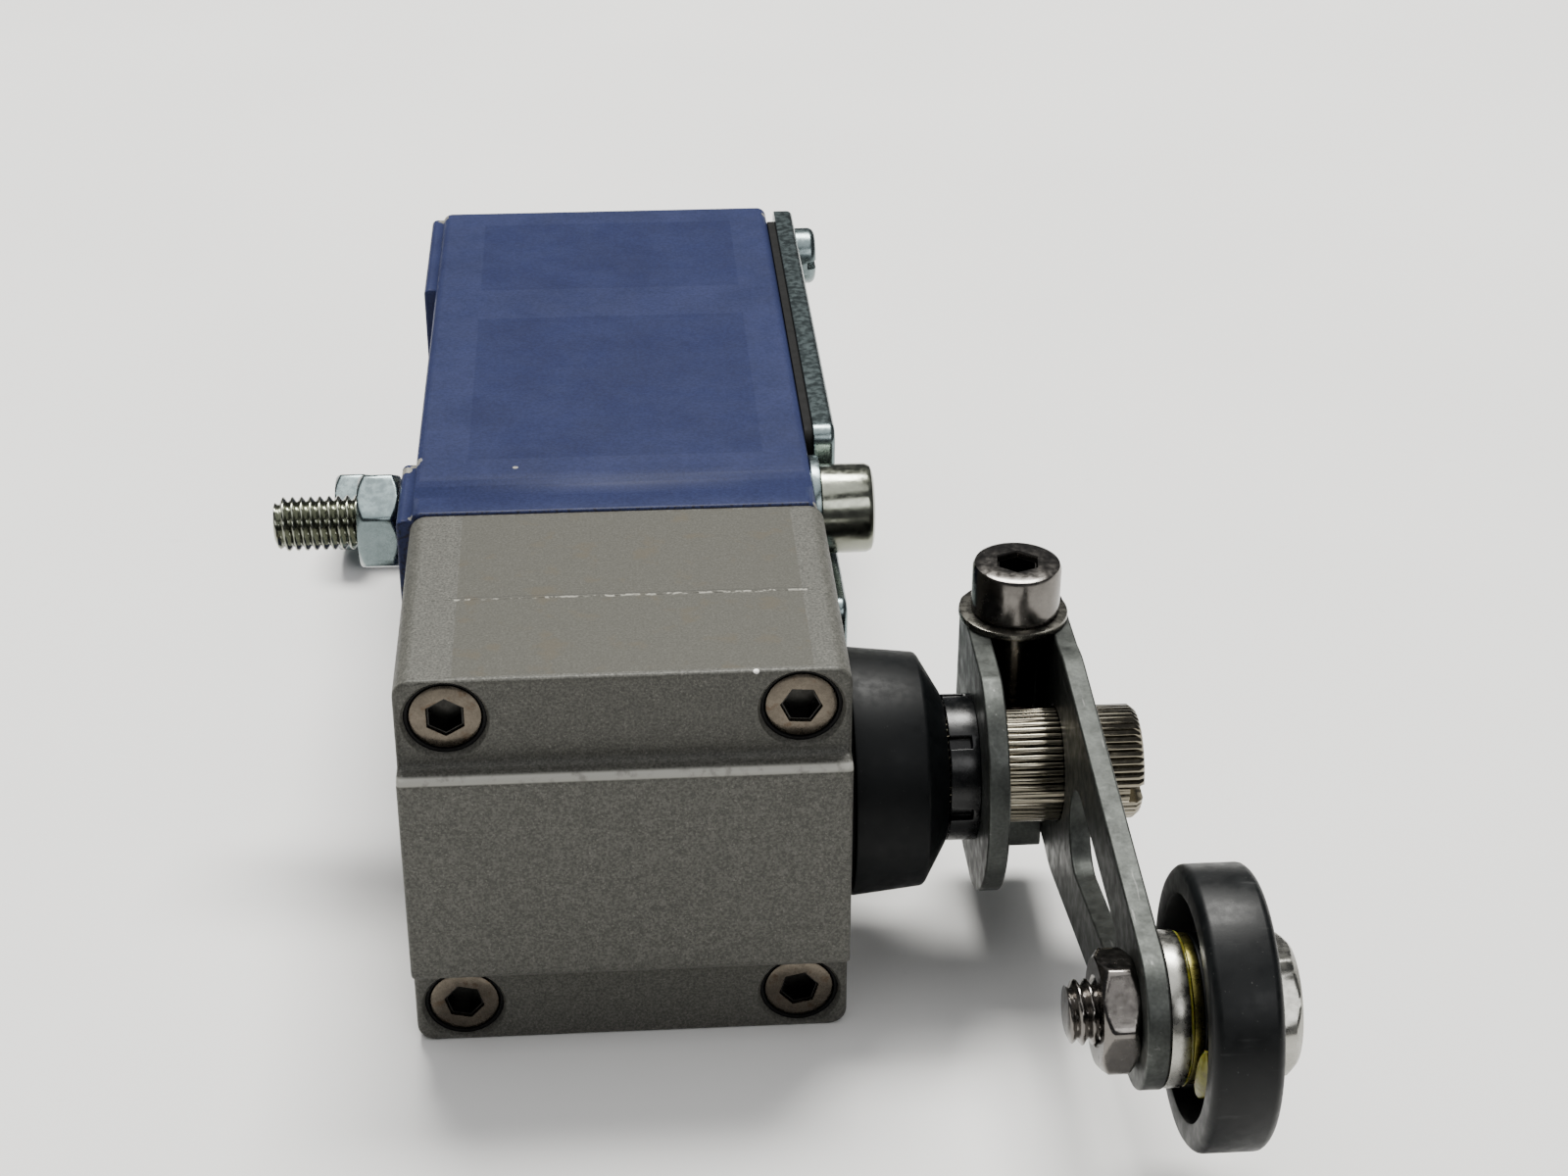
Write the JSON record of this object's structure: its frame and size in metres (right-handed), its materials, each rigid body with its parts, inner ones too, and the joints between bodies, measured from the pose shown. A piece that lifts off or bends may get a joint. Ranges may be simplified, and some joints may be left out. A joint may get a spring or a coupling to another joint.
{
  "type": "limit switch",
  "caption": "Metal limit switch with a rotary head, a clamped lever with a roller, a gasketed cover and a threaded cable entry.",
  "frame": {"origin": "midway between the two fixing bolts, on the plane of the mounting pads", "axes": "-X out of the mounting face, +Y from the head towards the cable entry, +Z across the body; the part lies on its -Z side"},
  "size_m": [0.0969, 0.1624, 0.043],
  "materials": {
    "blue_paint": "satin, slightly worn",
    "silver_paint": "fine metallic speckle",
    "zinc_plate": "blue zinc plating",
    "dark_steel": "darkened, polished",
    "lever_steel": "dull zinc plating",
    "shaft_steel": "ground and knurled",
    "spring_steel": "bright",
    "rubber": "matt black",
    "roller_plastic": "satin black",
    "block_plastic": "moulded",
    "pusher_plastic": "moulded",
    "brass": "bright",
    "greased_brass": "greased",
    "old_backing": "dry, ragged"
  },
  "bodies": {
    "body": {"body_housing": "blue_paint", "cover_gasket": "rubber", "cover_plate": "zinc_plate", "cover_screws": "zinc_plate", "mounting_washers": "zinc_plate", "mounting_bolts": "zinc_plate", "mounting_nuts": "zinc_plate", "head_casing": "silver_paint", "head_gasket": "rubber", "head_screws": "dark_steel", "back_patch": "old_backing", "bearing_bush": "brass", "shaft_seal": "rubber", "rear_bush": "brass", "boot": "rubber", "pusher_seal": "rubber", "return_spring": "spring_steel", "contact_spring": "spring_steel", "fixed_contacts": "brass", "terminal_clamps": "zinc_plate", "terminal_screws": "zinc_plate", "contact_block": "block_plastic", "block_cover": "pusher_plastic", "block_screws": "zinc_plate", "earth_washer": "brass", "earth_screw": "zinc_plate"},
    "cam": {"cam": "spring_steel"},
    "lever": {"shaft": "shaft_steel", "drive_pin": "spring_steel", "circlip": "spring_steel", "index_ring": "roller_plastic", "lever_arm": "lever_steel", "clamp_washer": "zinc_plate", "clamp_screw": "dark_steel", "clamp_nut": "dark_steel", "axle_bolt": "zinc_plate", "axle_nut": "dark_steel", "axle_spacer": "zinc_plate"},
    "roller": {"roller": "roller_plastic", "roller_bush": "greased_brass"},
    "pusher": {"pusher": "pusher_plastic"},
    "contacts": {"contact_plunger": "pusher_plastic", "contact_bridge": "brass"}
  },
  "joints": [
    {"name": "lever_trip", "type": "hinge", "parent": "body", "child": "cam", "pos_m": [0.0235, -0.0604, 0], "axis": [-1, 0, 0], "range_deg": [0, 65], "stiffness_Nm_per_rad": 0.25, "springref_deg": -20.05},
    {"name": "lever_free", "type": "hinge", "parent": "cam", "child": "lever", "pos_m": [0.0235, -0.0604, 0], "axis": [-1, 0, 0], "range_deg": [-65, 0], "stiffness_Nm_per_rad": 0.15, "springref_deg": 22.92},
    {"name": "roller_spin", "type": "hinge", "parent": "lever", "child": "roller", "pos_m": [0.07595, -0.1034, 0.0014], "axis": [1, 0, 0], "continuous": true},
    {"name": "pusher_travel", "type": "slide", "parent": "body", "child": "pusher", "axis": [0, 1, 0], "range_m": [0, 0.004]},
    {"name": "contact_travel", "type": "slide", "parent": "body", "child": "contacts", "axis": [0, 1, 0], "range_m": [0, 0.004]}
  ],
  "couplings": [
    {"joint": "pusher_travel", "follows": "lever_trip", "m_per_rad": 0.003525},
    {"joint": "contact_travel", "follows": "lever_trip", "m_per_rad": 0.003525}
  ]
}
